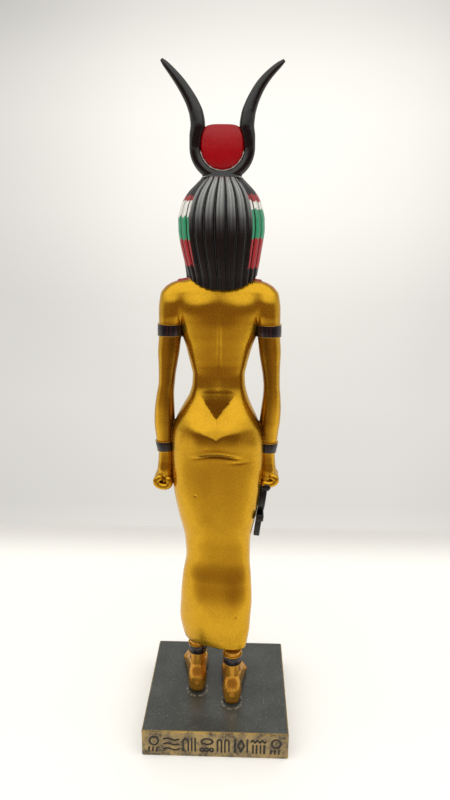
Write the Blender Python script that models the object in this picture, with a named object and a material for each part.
"""A painted cast statuette of a standing goddess: a fluted wig under a horned crown with a sun
disc, a close dress, one foot set forward, an ankh in the right hand, on a square plinth.

Metres, +Z up. The origin is the middle of the plinth's underside. The figure looks along -Y, so
its left side is at +X.
"""

import math

import bmesh
import bpy
import numpy as np
from mathutils import Matrix, Vector

MM = 0.001

# Driving sizes
PLINTH_WIDTH = 67.3 * MM
PLINTH_DEPTH = 67.3 * MM
PLINTH_HEIGHT = 13.7 * MM
PLINTH_EDGE = 0.7 * MM
FIGURE_HEIGHT = 241.5 * MM
WIG_SEAT_WIDTH = 16.6 * MM
WIG_SEAT_DEPTH = 9.6 * MM
CROWN_HEIGHT = 43.9 * MM
CROWN_SHIFT = -0.75 * MM
HORN_SPREAD = 49.8 * MM
HORN_RADIUS = 2.33 * MM
DISC_RADIUS = 8.9 * MM
DISC_THICKNESS = 4.4 * MM
DISC_RIM = 2.4 * MM
DISC_BITE = 0.15 * MM
DISC_TOP_POWER = 3.8
ANKH_LENGTH = 28.6 * MM
ANKH_WIDTH = 15.0 * MM
ANKH_THICKNESS = 3.0 * MM
ANKH_STEP = 0.1 * MM
STROKE_WIDTH = 0.8 * MM
STROKE_DEPTH = 0.45 * MM
GLUE_GAP = 0.3 * MM

SOLE_LEVEL = PLINTH_HEIGHT + GLUE_GAP
SEAT_LEVEL = SOLE_LEVEL + FIGURE_HEIGHT

BODY_SIDES = 32
BODY_RING_COUNTS = (12, 12, 13)
WIG_STRANDS = 24
WIG_RINGS = 10
LIMB_SIDES = 12
HEAD_SIDES = 20
SECTION_POWER = 0.9
BODY_CROWDING = 0.1
STRAND_POINTS = 2

# The figure is drawn in millimetres above its soles, and scaled to FIGURE_HEIGHT below.

# Torso and dress: height, half width, front, back, how far the left side is forward, and the
# sideways shift of the middle.
BODY_ROWS = (
    (27.2, 14.9, -3.9, 10.6, 4.4, 1.3),
    (31, 15.8, -4.5, 11.2, 4.2, 1.5),
    (39, 17.0, -5.3, 12.1, 3.8, 1.6),
    (50, 17.1, -6.4, 12.4, 3.2, 1.0),
    (61, 16.4, -7.8, 11.3, 2.4, 0.7),
    (72, 15.2, -9.3, 10.0, 1.9, 0.3),
    (80, 15.5, -10.2, 10.2, 1.5, 0.5),
    (93, 18.0, -11.3, 11.8, 0.9, 0.7),
    (106, 20.1, -12.0, 13.0, 0.4, 0.8),
    (119, 20.9, -12.3, 13.8, 0.1, 0.4),
    (128, 20.9, -12.1, 14.0, 0, 0.4),
    (135, 19.9, -11.6, 13.6, 0, 0.8),
    (140, 18.0, -11.1, 12.2, 0, 1.0),
    (145.7, 15.1, -10.4, 9.7, 0, 0.8),
    (150.4, 12.9, -9.6, 7.8, 0, 0.4),
    (155, 11.8, -8.9, 6.4, 0, 0.3),
    (159, 11.6, -8.6, 5.9, 0, 0.3),
    (163, 12.4, -8.8, 6.0, 0, 0.3),
    (166.7, 13.3, -9.3, 6.5, 0, 0.3),
    (171.8, 14.6, -9.9, 7.5, 0, 0.2),
    (176.5, 16.3, -10.3, 8.5, 0, 0.1),
    (183, 18.2, -10.4, 9.4, 0, 0),
    (190, 20.2, -9.6, 9.3, 0, 0),
    (195.5, 19.6, -8.2, 8.4, 0, 0),
    (199.5, 16.4, -6.5, 7.2, 0, 0),
    (202.3, 10.5, -5.2, 6.0, 0, 0),
)
# Where the spacing of the rings changes.
BODY_LEVELS = (27.2, 120, 150, 202.3)

# Swellings and hollows of the body: side (1 back, -1 front), x, height, their widths, and depth.
BODY_FORMS = (
    (1, 7.2, 138.6, 6.2, 7.5, 3.4),
    (1, -7.2, 138.6, 6.2, 7.5, 3.4),
    (1, 0, 138.5, 2.4, 7.0, -2.2),
    (1, 0, 125.4, 11.5, 1.6, -0.9),
    (1, 0, 172.0, 2.6, 19.0, -1.1),
    (1, 9.5, 188.0, 6.0, 7.0, 1.1),
    (1, -9.5, 188.0, 6.0, 7.0, 1.1),
    (1, 8.5, 50.0, 5.5, 13.0, 1.0),
    (1, -8.5, 50.0, 5.5, 13.0, 1.0),
    (1, 0, 95.0, 4.0, 30.0, -0.8),
    (-1, 7.4, 177.5, 5.2, 5.4, 5.2),
    (-1, -7.4, 177.5, 5.2, 5.4, 5.2),
    (-1, 0, 146.0, 8.0, 9.0, 1.2),
    (-1, 7.8, 95.0, 6.0, 30.0, 1.6),
    (-1, -7.8, 95.0, 6.0, 30.0, 1.6),
    (-1, 0, 92.0, 3.5, 34.0, -1.0),
)

# Left arm: height, x, y, half width, half depth. The jumps are the armlet and the bracelet.
ARM_ROWS = (
    (200.2, 16.3, 0.5, 1.6, 1.8),
    (199.3, 17.0, 0.5, 3.5, 4.2),
    (197.5, 18.1, 0.5, 5.1, 6.0),
    (194.7, 19.2, 0.5, 6.1, 6.9),
    (190.6, 19.9, 0.5, 6.15, 6.9),
    (186, 20.6, 0.6, 5.7, 6.4),
    (182.1, 21.1, 0.8, 5.2, 5.9),
    (181.8, 21.2, 0.8, 5.7, 6.4),
    (176.8, 21.5, 1.1, 5.5, 6.2),
    (176.5, 21.5, 1.1, 4.9, 5.6),
    (170, 22.1, 1.6, 4.75, 5.2),
    (164.4, 22.5, 2.0, 4.2, 4.7),
    (159.4, 22.9, 2.3, 3.75, 4.4),
    (154.9, 23.2, 2.4, 3.6, 4.3),
    (150, 23.6, 2.2, 3.9, 4.4),
    (144, 23.7, 1.6, 4.4, 4.6),
    (138, 23.6, 0.8, 4.6, 4.5),
    (132, 23.4, 0.0, 4.3, 4.1),
    (128.2, 23.3, -0.4, 4.0, 3.8),
    (127.9, 23.3, -0.4, 4.5, 4.4),
    (123.4, 23.1, -0.8, 4.1, 4.1),
    (123.1, 23.1, -0.8, 3.4, 3.5),
    (118.5, 23.2, -1.2, 3.6, 4.0),
    (114, 23.6, -1.7, 3.8, 5.2),
    (111.2, 23.7, -1.9, 4.4, 5.0),
    (108, 23.8, -1.9, 3.2, 4.0),
)
# Both forearms lean to the figure's left: how far outwards each wrist is moved, and the heights
# where the lean starts and is whole.
WRIST_LEAN = {"left": 1.2, "right": -1.0}
LEAN_TOP = 156.0
LEAN_WHOLE = 134.0

# The row of four curled fingers of each fist: its middle and its half sizes.
FISTS = {
    "left": ((24.9, -1.75, 107.9), (5.4, 6.1, 4.2)),
    "right": ((22.45, -1.7, 109.2), (5.2, 5.8, 3.9)),
}
FINGER_COUNT = 4
FINGER_STEPS = 2
FINGER_GROOVE = 0.12

# Left leg below the hem: height, half width, half depth. The jumps are the anklet.
ANKLE_ROWS = (
    (36, 5.4, 5.6),
    (28, 4.3, 4.6),
    (24.2, 4.0, 4.3),
    (24.0, 4.6, 4.9),
    (19.4, 4.5, 4.8),
    (19.2, 3.85, 4.2),
    (14, 3.8, 4.3),
    (8, 3.9, 4.6),
    (3, 3.7, 4.2),
)
# Foot, from the heel forward: distance, half width, height.
FOOT_ROWS = (
    (0.0, 1.6, 4.4),
    (0.6, 2.9, 7.0),
    (2.4, 3.9, 10.0),
    (6, 4.3, 12.5),
    (10, 4.7, 12.4),
    (14, 5.4, 10.2),
    (18, 6.0, 8.0),
    (22, 6.4, 6.2),
    (26, 6.2, 5.0),
    (30, 5.1, 4.0),
    (32, 3.8, 3.1),
    (33, 2.4, 2.1),
)
# Left foot first: x of the heel, y of the heel's back, y of the ankle, and the turn outwards.
FEET = (
    ("left", 10.0, 7.4, 0.8, 4.5),
    ("right", -7.3, 15.7, 9.0, -1.0),
)

NECK_ROWS = (
    (196, 7.4, 6.4, 0.2),
    (200, 6.0, 5.8, -0.4),
    (204, 5.2, 5.2, -1.0),
    (212, 5.2, 5.4, -1.6),
)
# Head: height, half width, front, back.
HEAD_ROWS = (
    (208.6, 2.2, -11.2, -6.0),
    (209.6, 4.2, -12.3, -3.0),
    (212.5, 6.2, -12.9, 0.0),
    (216, 7.7, -13.0, 2.0),
    (220, 8.7, -12.8, 4.0),
    (224.5, 9.3, -12.6, 6.0),
    (229, 9.4, -12.8, 6.0),
    (233, 8.9, -12.3, 6.0),
    (237, 7.4, -10.6, 5.0),
    (240, 4.6, -7.4, 3.0),
)
FACE_FORMS = (
    (-1, 0, 219.8, 1.4, 3.4, 1.5),
    (-1, 0, 217.6, 1.6, 1.3, 0.9),
    (-1, 3.7, 223.3, 2.2, 1.5, -0.7),
    (-1, -3.7, 223.3, 2.2, 1.5, -0.7),
    (-1, 0, 213.9, 2.6, 1.0, 0.7),
    (-1, 0, 210.4, 2.4, 1.5, 0.5),
)

# Wig: height, half width, front, back, and the sideways shift of the middle.
WIG_ROWS = (
    (196.6, 13.7, -5.0, 11.2, -1.3),
    (201.3, 14.3, -6.2, 12.0, -1.3),
    (204.3, 14.9, -7.2, 12.7, -1.2),
    (208.6, 15.9, -8.4, 13.6, -1.0),
    (212.6, 16.7, -9.6, 14.3, -0.8),
    (217, 17.5, -10.8, 15.0, -0.7),
    (221.4, 18.0, -11.8, 15.5, -0.7),
    (225.2, 18.0, -12.6, 15.6, -0.6),
    (229, 17.3, -13.2, 15.2, -0.6),
    (232.6, 16.1, -13.2, 14.2, -0.7),
    (236.2, 13.9, -12.2, 12.5, -0.8),
    (239.3, 10.9, -9.6, 10.2, -0.9),
    (241.2, 8.9, -6.6, 8.0, -0.9),
)
# The crown's seat is the figure's top, a little above the wig's top row.
SEAT_LIP = 0.7
DRAWN_TOP = WIG_ROWS[-1][0] + SEAT_LIP
FIGURE_SCALE = FIGURE_HEIGHT / DRAWN_TOP
WIG_SIDE_HEM = 202.6
WIG_BACK_DROP = 5.6
FLUTE_DEPTH = 0.55
# The lappet that lies on the left breast: height, x, y, half width, half depth.
LAPPET_ROWS = (
    (215, 12.0, -5.6, 4.2, 3.6),
    (208, 11.6, -6.2, 4.0, 3.4),
    (202, 11.2, -6.9, 3.7, 3.0),
    (196, 10.9, -7.9, 4.2, 2.6),
    (190, 10.4, -9.0, 4.4, 2.4),
    (184.5, 9.9, -10.2, 4.4, 2.3),
)
FACE_OPENING_WIDTH = 9.0
FACE_OPENING_TOP = 234.5
FACE_OPENING_FLOOR = 190.0
FACE_OPENING_FRONT = -30.0
FACE_OPENING_BACK = -2.35

# Rim of the broad collar: how far it reaches from the neck, and how thick it is.
COLLAR_CENTRE = 204.0
COLLAR_REACH = 25.0
COLLAR_THICKNESS = 0.7
COLLAR_BACK = 1.5

# The right horn ends a little lower than the left.
RIGHT_HORN_SHARE = 0.99
# Horn above the disc: share of its rise, share of its flare, and radius against HORN_RADIUS.
HORN_ROWS = (
    (0.000, 0.000, 1.00),
    (0.135, -0.030, 1.15),
    (0.258, -0.090, 1.30),
    (0.380, -0.050, 1.25),
    (0.503, 0.065, 1.13),
    (0.626, 0.237, 1.00),
    (0.748, 0.446, 0.87),
    (0.871, 0.700, 0.68),
    (0.950, 0.880, 0.52),
    (1.000, 1.000, 0.28),
)
# The right horn bends in more than the left: by this share of its flare at most, from here up.
RIGHT_HORN_BEND = 0.091
BEND_START = 0.3
BEND_POWER = 1.8
CRADLE_STEPS = 6
HORN_STEPS = 11
HORN_SIDES = 10
CROWN_FOOT_HEIGHT = 3.4 * MM

# Ankh, as shares of its length: the middle of the loop and of the bar, and the bar's height.
LOOP_MIDDLE = 0.72
LOOP_HALF_HEIGHT = 0.25
BAR_MIDDLE = 0.41
BAR_HALF_HEIGHT = 0.055
LOOP_HALF_WIDTH_SHARE = 0.30
ANKH_STEM_SHARE = 0.10
ANKH_LOOP_BAND_SHARE = 0.10
ANKH_TOP = (-21.3, -1.6, 109.5)
ANKH_LEAN = math.radians(-7.0)
ANKH_LOOP_STEPS = 20

# Rows of shallow strokes on the plinth's sides: how many, and each stroke's share of the height.
STROKES_PER_SIDE = 10
STROKE_HEIGHTS = (0.50, 0.50, 0.26, 0.50, 0.26)
STROKE_MARGIN = 4.0 * MM

GOLD = ("gold paint", (0.62, 0.36, 0.05), 0.30, 0.9)
BLACK = ("black paint", (0.012, 0.012, 0.014), 0.35, 0.0)
RED = ("red paint", (0.45, 0.01, 0.02), 0.30, 0.0)
DARK = ("dark plinth paint", (0.035, 0.038, 0.036), 0.50, 0.0)


class Profile:
    """Columns of numbers read at any height, by a smooth curve that turns only where they turn."""

    def __init__(self, rows):
        table = np.array(sorted(rows), float)
        self.heights = table[:, 0]
        self.values = table[:, 1:]
        slopes = np.diff(self.values, axis=0) / np.diff(self.heights)[:, None]
        before, after = slopes[:-1], slopes[1:]
        same_way = before * after > 0
        total = np.where(same_way, before + after, 1.0)
        inner = np.where(same_way, 2 * before * after / total, 0.0)
        self.tangents = np.vstack([slopes[:1], inner, slopes[-1:]])

    def __call__(self, height):
        place = np.clip(height, self.heights[0], self.heights[-1])
        row = min(int(np.searchsorted(self.heights, place, "right")), len(self.heights) - 1) - 1
        span = self.heights[row + 1] - self.heights[row]
        t = (place - self.heights[row]) / span
        rise = t * t * (3 - 2 * t)
        return (
            self.values[row] * (1 - rise)
            + self.values[row + 1] * rise
            + self.tangents[row] * span * t * (1 - t) ** 2
            - self.tangents[row + 1] * span * t * t * (1 - t)
        )


BODY = Profile(BODY_ROWS)
WIG = Profile(WIG_ROWS)
HEAD = Profile(HEAD_ROWS)
HORN = Profile(HORN_ROWS)


def clear_scene():
    for old in list(bpy.data.objects):
        bpy.data.objects.remove(old)


def paint(recipe):
    name, colour, roughness, metallic = recipe
    material = bpy.data.materials.get(name) or bpy.data.materials.new(name)
    material.use_nodes = True
    shader = material.node_tree.nodes["Principled BSDF"]
    shader.inputs["Base Color"].default_value = (*colour, 1.0)
    shader.inputs["Roughness"].default_value = roughness
    shader.inputs["Metallic"].default_value = metallic
    return material


def new_object(name, bm, recipe):
    bmesh.ops.recalc_face_normals(bm, faces=bm.faces)
    mesh = bpy.data.meshes.new(name)
    bm.to_mesh(mesh)
    bm.free()
    mesh.shade_smooth()
    mesh.set_sharp_from_angle(angle=math.radians(40))
    mesh.materials.append(paint(recipe))
    made = bpy.data.objects.new(name, mesh)
    bpy.context.scene.collection.objects.link(made)
    return made


def loft(name, rings, recipe):
    """A closed skin through rings of equal length, with a flat cap at each end."""
    bm = bmesh.new()
    loops = [[bm.verts.new(point) for point in ring] for ring in rings]
    for low, high in zip(loops, loops[1:]):
        for k, corner in enumerate(low):
            after = (k + 1) % len(low)
            bm.faces.new((corner, low[after], high[after], high[k]))
    bm.faces.new(loops[0])
    bm.faces.new(loops[-1])
    return new_object(name, bm, recipe)


def block(name, low, high, recipe):
    bm = bmesh.new()
    bmesh.ops.create_cube(bm, size=1.0)
    low, high = Vector(low), Vector(high)
    bmesh.ops.scale(bm, vec=high - low, verts=bm.verts)
    bmesh.ops.translate(bm, vec=(low + high) / 2, verts=bm.verts)
    return new_object(name, bm, recipe)


def combine(target, tool, operation):
    """Joins the tool to the target or cuts it away, and keeps the tool as a hidden guide."""
    step = target.modifiers.new(f"{operation.title()} {tool.name}", "BOOLEAN")
    step.object = tool
    step.operation = operation
    tool.hide_render = True
    tool.display_type = "WIRE"


def figure_point(x, y, height):
    """A point of the figure's drawing, in metres on the plinth."""
    return Vector((x, y, height)) * FIGURE_SCALE + Vector((0, 0, SOLE_LEVEL))


def turns(count):
    return [2 * math.pi * k / count for k in range(count)]


def rounded(value, power):
    return math.copysign(abs(value) ** power, value)


def swelling(forms, side_share, x, height):
    """How far the swellings and hollows move a point along Y."""
    total = 0.0
    for side, at_x, at_height, wide, tall, depth in forms:
        facing = max(0.0, side * side_share) ** 0.5
        near = math.exp(-(((x - at_x) / wide) ** 2) - ((height - at_height) / tall) ** 2)
        total += side * depth * facing * near
    return total


def collar_lift(x, y, height):
    """The collar's thickness where it covers the breast and the top of the shoulders."""
    away = math.hypot(x, (height - COLLAR_CENTRE) * 1.15)
    return COLLAR_THICKNESS if away < COLLAR_REACH and y < COLLAR_BACK else 0.0


def body_ring(height):
    half_width, front, back, stride, shift = BODY(height)
    middle, half_depth = (front + back) / 2, (back - front) / 2
    ring = []
    for turn in turns(BODY_SIDES):
        angle = turn + BODY_CROWDING * math.sin(2 * turn)
        across, along = math.cos(angle), math.sin(angle)
        x = half_width * rounded(across, SECTION_POWER)
        y = middle + half_depth * rounded(along, SECTION_POWER)
        lift = collar_lift(x, y, height)
        x += lift * across
        y += lift * along - stride * x / half_width
        y += swelling(BODY_FORMS, along, x, height)
        ring.append(figure_point(x + shift, y, height))
    return ring


def make_body():
    rings = []
    for low, high, steps in zip(BODY_LEVELS, BODY_LEVELS[1:], BODY_RING_COUNTS):
        rings += [body_ring(low + (high - low) * k / steps) for k in range(steps)]
    rings.append(body_ring(BODY_LEVELS[-1]))
    return loft("figure", rings, GOLD)


def arm_lean(height, name):
    """How far outwards the leaning forearm is moved at a height."""
    share = (LEAN_TOP - height) / (LEAN_TOP - LEAN_WHOLE)
    return WRIST_LEAN[name] * min(1.0, max(0.0, share))


def make_arm(side, name):
    rings = []
    for height, x, y, wide, deep in ARM_ROWS:
        middle = x + arm_lean(height, name)
        rings.append(
            [
                figure_point(side * (middle + wide * math.cos(a)), y + deep * math.sin(a), height)
                for a in turns(LIMB_SIDES)
            ]
        )
    return loft(f"{name} arm", rings, GOLD)


def make_fingers(side, name):
    """The curled fingers as one scalloped roll, from the index finger at the front backwards."""
    (x, y, height), (wide, deep, tall) = FISTS[name]
    rings = []
    for k in range(FINGER_COUNT * FINGER_STEPS + 1):
        share = k / (FINGER_COUNT * FINGER_STEPS)
        scallop = 1 - FINGER_GROOVE * (1 - abs(math.sin(math.pi * FINGER_COUNT * share)))
        ends = (1 - 0.75 * abs(2 * share - 1) ** 6) * scallop
        rings.append(
            [
                figure_point(
                    side * (x + wide * ends * math.cos(a)),
                    y + deep * (2 * share - 1),
                    height + tall * ends * math.sin(a),
                )
                for a in turns(LIMB_SIDES)
            ]
        )
    return loft(f"{name} fingers", rings, GOLD)


def make_ankle(name, x, y):
    rings = [
        [
            figure_point(x + wide * math.cos(a), y + deep * math.sin(a), height)
            for a in turns(LIMB_SIDES)
        ]
        for height, wide, deep in ANKLE_ROWS
    ]
    return loft(f"{name} ankle", rings, GOLD)


def make_foot(name, x, heel_y, turn):
    """A flat-soled foot, each ring a round-topped arch across it."""
    swing = math.tan(math.radians(turn))
    rings = []
    for forward, half_width, top in FOOT_ROWS:
        ring = []
        for angle in turns(LIMB_SIDES):
            across, up = math.cos(angle), math.sin(angle)
            height = top * (0.25 + 0.75 * up) if up > 0 else top * 0.25 * (1 - rounded(-up, 0.5))
            side = half_width * rounded(across, 0.8)
            ring.append(figure_point(x + side + swing * forward, heel_y - forward, height))
        rings.append(ring)
    return loft(f"{name} foot", rings, GOLD)


def make_neck():
    rings = [
        [
            figure_point(wide * math.cos(a), y + deep * math.sin(a), height)
            for a in turns(LIMB_SIDES)
        ]
        for height, wide, deep, y in NECK_ROWS
    ]
    return loft("neck", rings, GOLD)


def head_ring(height, sides):
    half_width, front, back = HEAD(height)
    ring = []
    for angle in turns(sides):
        across, along = math.cos(angle), math.sin(angle)
        x = half_width * across
        y = (front + back) / 2 + (back - front) / 2 * along
        y += swelling(FACE_FORMS, along, x, height)
        ring.append(figure_point(x, y, height))
    return ring


def make_head():
    heights = [208.6, 209.6, 211.6, 213.0, 214.1, 215.4, 217.2, 219.5, 222.5, 226, 231, 236]
    return loft("head", [head_ring(height, HEAD_SIDES) for height in heights], GOLD)


def wig_ring(share, sides, shrink=1.0, lift=0.0):
    """A ring of the fluted wig. Its lowest ring follows the hem, which dips at the back."""
    ring = []
    for angle in turns(sides):
        across, along = math.cos(angle), math.sin(angle)
        hem = WIG_SIDE_HEM - WIG_BACK_DROP * max(0.0, along) ** 1.3
        height = hem + (WIG_ROWS[-1][0] - hem) * share
        half_width, front, back, shift = WIG(height)
        groove = FLUTE_DEPTH * (1 - abs(math.cos((angle - math.pi / 2) * WIG_STRANDS / 2)))
        x = (half_width - groove) * across * shrink + shift
        y = (front + back) / 2 + ((back - front) / 2 - groove) * along * shrink
        ring.append(figure_point(x, y, height + lift))
    return ring


def seat_point(across, along, height):
    """A point on the outline of the crown's seat."""
    x = CROWN_SHIFT + across * WIG_SEAT_WIDTH / 2
    return Vector((x, along * WIG_SEAT_DEPTH / 2, height))


def make_wig():
    shares = [1 - (1 - k / WIG_RINGS) ** 1.35 for k in range(WIG_RINGS + 1)]
    rings = [wig_ring(0.0, WIG_STRANDS * STRAND_POINTS, 0.6, 2.6)]
    rings += [wig_ring(share, WIG_STRANDS * STRAND_POINTS) for share in shares]
    seat = [
        seat_point(math.cos(a), math.sin(a), SEAT_LEVEL)
        for a in turns(WIG_STRANDS * STRAND_POINTS)
    ]
    return loft("wig", rings + [seat], BLACK)


def make_lappet(side, name):
    rings = [
        [
            figure_point(
                side * (x + wide * rounded(math.cos(a), 0.7)),
                y + deep * rounded(math.sin(a), 0.7),
                height,
            )
            for a in turns(LIMB_SIDES)
        ]
        for height, x, y, wide, deep in LAPPET_ROWS
    ]
    return loft(f"{name} lappet", rings, BLACK)


def make_face_opening():
    """The arched space that the wig leaves for the face, as a cutter from the front."""
    wide = FACE_OPENING_WIDTH
    outline = [(wide, FACE_OPENING_FLOOR)]
    for k in range(11):
        angle = math.pi * k / 10
        rise = 0.9 * wide * (math.sin(angle) - 1)
        outline.append((wide * math.cos(angle), FACE_OPENING_TOP + rise))
    outline.append((-wide, FACE_OPENING_FLOOR))
    rings = [
        [figure_point(x, depth, height) for x, height in outline]
        for depth in (FACE_OPENING_FRONT, FACE_OPENING_BACK)
    ]
    return loft("face opening", rings, GOLD)


def make_figure():
    """The whole casting: body, wig, arms, fists and feet in one solid."""
    wig = make_wig()
    combine(wig, make_face_opening(), "DIFFERENCE")
    figure = make_body()
    pieces = [make_neck(), make_head(), wig]
    for side, name in ((1, "left"), (-1, "right")):
        pieces += [make_lappet(side, name), make_arm(side, name), make_fingers(side, name)]
    for name, x, heel_y, ankle_y, turn in FEET:
        pieces += [make_ankle(name, x, ankle_y), make_foot(name, x, heel_y, turn)]
    for piece in pieces:
        combine(figure, piece, "UNION")
    combine(figure, make_ankh("ankh clearance", GLUE_GAP), "DIFFERENCE")
    return figure


def horn_bend(share, most):
    """How much less a horn flares, as a share of its whole flare, where it bends in."""
    along = max(0.0, (share - BEND_START) / (1 - BEND_START))
    return most * math.sin(math.pi * along**BEND_POWER)


def horn_path(height, bend):
    """Points and radii from a horn's tip, round under the disc, to the middle."""
    centre_height = disc_centre().z
    cradle = DISC_RADIUS + HORN_RADIUS - DISC_BITE
    rise = SEAT_LEVEL + GLUE_GAP + height - centre_height
    flare = HORN_SPREAD / 2 - HORN_RADIUS * HORN_ROWS[-1][2] - cradle
    path = []
    for k in range(HORN_STEPS + 1):
        share = 1 - k / HORN_STEPS
        out, radius = (float(value) for value in HORN(share))
        out -= horn_bend(share, bend)
        place = Vector((cradle + flare * out, 0, centre_height + rise * share))
        path.append((place, HORN_RADIUS * radius))
    for k in range(1, CRADLE_STEPS + 1):
        angle = math.pi / 2 * k / CRADLE_STEPS
        place = Vector((math.cos(angle), 0, -math.sin(angle))) * cradle
        path.append((place + Vector((0, 0, centre_height)), HORN_RADIUS))
    return path


def make_crown():
    """Both horns as one swept tube, with the foot that stands on the wig, cut flat below."""
    path = horn_path(CROWN_HEIGHT, 0.0)
    right = horn_path(RIGHT_HORN_SHARE * CROWN_HEIGHT, RIGHT_HORN_BEND)
    for place, radius in right[-2::-1]:
        path.append((Vector((-place.x, place.y, place.z)), radius))
    rings = []
    for k, (place, radius) in enumerate(path):
        before = path[max(k - 1, 0)][0]
        after = path[min(k + 1, len(path) - 1)][0]
        along = (after - before).normalized()
        across = along.cross(Vector((0, 1, 0)))
        rings.append(
            [
                place + radius * (math.cos(a) * across + math.sin(a) * Vector((0, 1, 0)))
                for a in turns(HORN_SIDES)
            ]
        )
    crown = loft("horned_crown", rings, BLACK)
    crown.data.transform(Matrix.Translation((CROWN_SHIFT, 0, 0)))
    floor = SEAT_LEVEL + GLUE_GAP
    foot_rings = [
        [
            seat_point(spread * math.cos(a), spread * math.sin(a), floor + lift * CROWN_FOOT_HEIGHT)
            for a in turns(20)
        ]
        for spread, lift in ((1.0, -0.4), (0.99, 0.2), (0.92, 0.7), (0.7, 1.0))
    ]
    combine(crown, loft("crown foot", foot_rings, BLACK), "UNION")
    reach = HORN_SPREAD
    under = block("under the crown", (-reach, -reach, floor - reach), (reach, reach, floor), BLACK)
    combine(crown, under, "DIFFERENCE")
    combine(crown, make_disc("disc clearance", GLUE_GAP), "DIFFERENCE")
    return crown


def disc_centre():
    """The disc's middle, a horn's thickness above the wig."""
    lift = HORN_RADIUS * 0.9 + DISC_RADIUS + 2 * GLUE_GAP
    return Vector((CROWN_SHIFT, 0, SEAT_LEVEL + lift))


def disc_outline(angle):
    """The disc's outline for a radius of 1: round below, and squarer above where the horns hold it."""
    across, up = math.cos(angle), math.sin(angle)
    power = DISC_TOP_POWER if up > 0 else 2.0
    reach = (abs(across) ** power + abs(up) ** power) ** (-1 / power)
    return reach * across, reach * up


def make_disc(name, grow):
    """The sun disc, its faces domed and its rim rounded, grown on all sides for its clearance."""
    radius, rim = DISC_RADIUS + grow, DISC_RIM / 2 + grow
    middle = DISC_THICKNESS / 2 + grow
    dome = middle - rim
    profile = [(radius * 0.5, rim + dome * 0.85), (radius * 0.94, rim), (radius, rim * 0.45)]
    steps = [(r, y) for r, y in profile] + [(r, -y) for r, y in reversed(profile)]
    outline = [disc_outline(angle) for angle in turns(32)]
    rings = [[disc_centre() + Vector((r * x, y, r * z)) for x, z in outline] for r, y in steps]
    return loft(name, rings, RED)


def ankh_frame():
    """Places the ankh: its top in the right fist, its plane along the thigh, leaning with it."""
    top = figure_point(*ANKH_TOP)
    return Matrix.Translation(top) @ Matrix.Rotation(ANKH_LEAN, 4, "Y")


def ankh_loop(reach, x):
    """The loop's outline at a distance outside its middle line, on one side of the ankh."""
    height = (LOOP_MIDDLE - 1) * ANKH_LENGTH
    wide = LOOP_HALF_WIDTH_SHARE * ANKH_WIDTH + reach
    tall = LOOP_HALF_HEIGHT * ANKH_LENGTH + reach
    return [
        Vector((x, wide * math.cos(a), height + tall * math.sin(a)))
        for a in turns(ANKH_LOOP_STEPS)
    ]


def make_loop(name, half, band):
    """The open loop of the ankh, four-sided in section."""
    bm = bmesh.new()
    corners = ((band, half), (band, -half), (-band, -half), (-band, half))
    outlines = [[bm.verts.new(point) for point in ankh_loop(*corner)] for corner in corners]
    for this, other in zip(outlines, outlines[1:] + outlines[:1]):
        for k in range(ANKH_LOOP_STEPS):
            after = (k + 1) % ANKH_LOOP_STEPS
            bm.faces.new((this[k], this[after], other[after], other[k]))
    return new_object(name, bm, BLACK)


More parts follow.
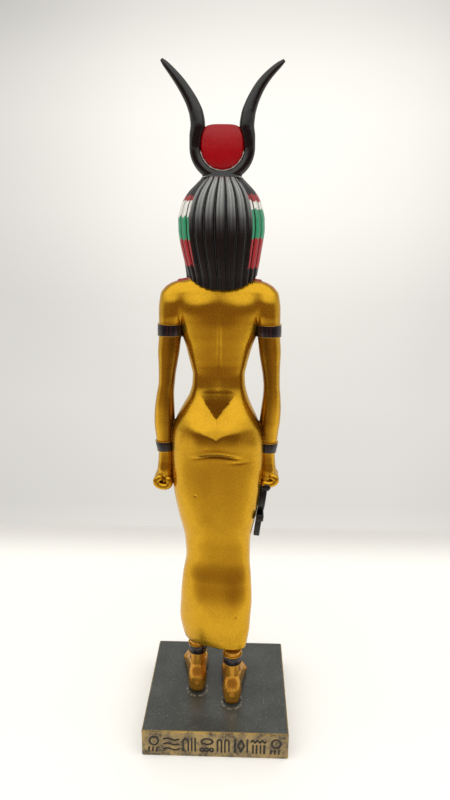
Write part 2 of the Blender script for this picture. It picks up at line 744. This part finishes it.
def make_ankh(name, grow):
    """A flat loop, bar and stem, drawn in the YZ plane from the loop's top down. The clearance
    for it in the fist is grown on all sides, and its loop is filled."""
    half = ANKH_THICKNESS / 2 + grow
    band = ANKH_LOOP_BAND_SHARE * ANKH_LENGTH / 2 + grow
    if grow:
        ankh = loft(name, [ankh_loop(band, -half), ankh_loop(band, half)], BLACK)
    else:
        ankh = make_loop(name, half, band)
    bar_z = (BAR_MIDDLE - 1) * ANKH_LENGTH
    bar_half = BAR_HALF_HEIGHT * ANKH_LENGTH + grow
    stem = ANKH_STEM_SHARE * ANKH_LENGTH / 2 + grow
    arm = ANKH_WIDTH / 2 + grow
    proud, shy = half + ANKH_STEP, half - ANKH_STEP
    bar_low, bar_high = bar_z - bar_half, bar_z + bar_half
    cross_bar = block(f"{name} bar", (-proud, -arm, bar_low), (proud, arm, bar_high), BLACK)
    stem_low, stem_high = -ANKH_LENGTH - grow, bar_z + bar_half * 1.5
    shaft = block(f"{name} stem", (-shy, -stem, stem_low), (shy, stem, stem_high), BLACK)
    for piece in (ankh, cross_bar, shaft):
        piece.data.transform(ankh_frame())
    combine(ankh, shaft, "UNION")
    combine(ankh, cross_bar, "UNION")
    return ankh


def add_strokes(bm, span, face, turn):
    """A row of upright grooves across one side of the plinth."""
    pitch = (span - 2 * STROKE_MARGIN) / (STROKES_PER_SIDE - 1)
    for k in range(STROKES_PER_SIDE):
        tall = STROKE_HEIGHTS[k % len(STROKE_HEIGHTS)] * PLINTH_HEIGHT
        size = (STROKE_WIDTH, 2 * STROKE_DEPTH, tall)
        place = (k * pitch - span / 2 + STROKE_MARGIN, face, PLINTH_HEIGHT / 2)
        groove = bmesh.ops.create_cube(bm, size=1.0)["verts"]
        bmesh.ops.scale(bm, vec=size, verts=groove)
        bmesh.ops.translate(bm, vec=place, verts=groove)
        bmesh.ops.rotate(bm, cent=(0, 0, 0), matrix=Matrix.Rotation(turn, 3, "Z"), verts=groove)


def make_plinth():
    low = (-PLINTH_WIDTH / 2, -PLINTH_DEPTH / 2, 0)
    plinth = block("plinth", low, (PLINTH_WIDTH / 2, PLINTH_DEPTH / 2, PLINTH_HEIGHT), DARK)
    edge = plinth.modifiers.new("Soft edges", "BEVEL")
    edge.width = PLINTH_EDGE
    edge.segments = 2
    bm = bmesh.new()
    for quarter in range(4):
        span, across = PLINTH_WIDTH, PLINTH_DEPTH
        if quarter % 2:
            span, across = across, span
        add_strokes(bm, span, across / 2, quarter * math.pi / 2)
    combine(plinth, new_object("stroke cutter", bm, DARK), "DIFFERENCE")
    return plinth


def main():
    clear_scene()
    make_plinth()
    make_figure()
    make_crown()
    make_disc("sun_disc", 0.0)
    make_ankh("ankh", 0.0)


main()
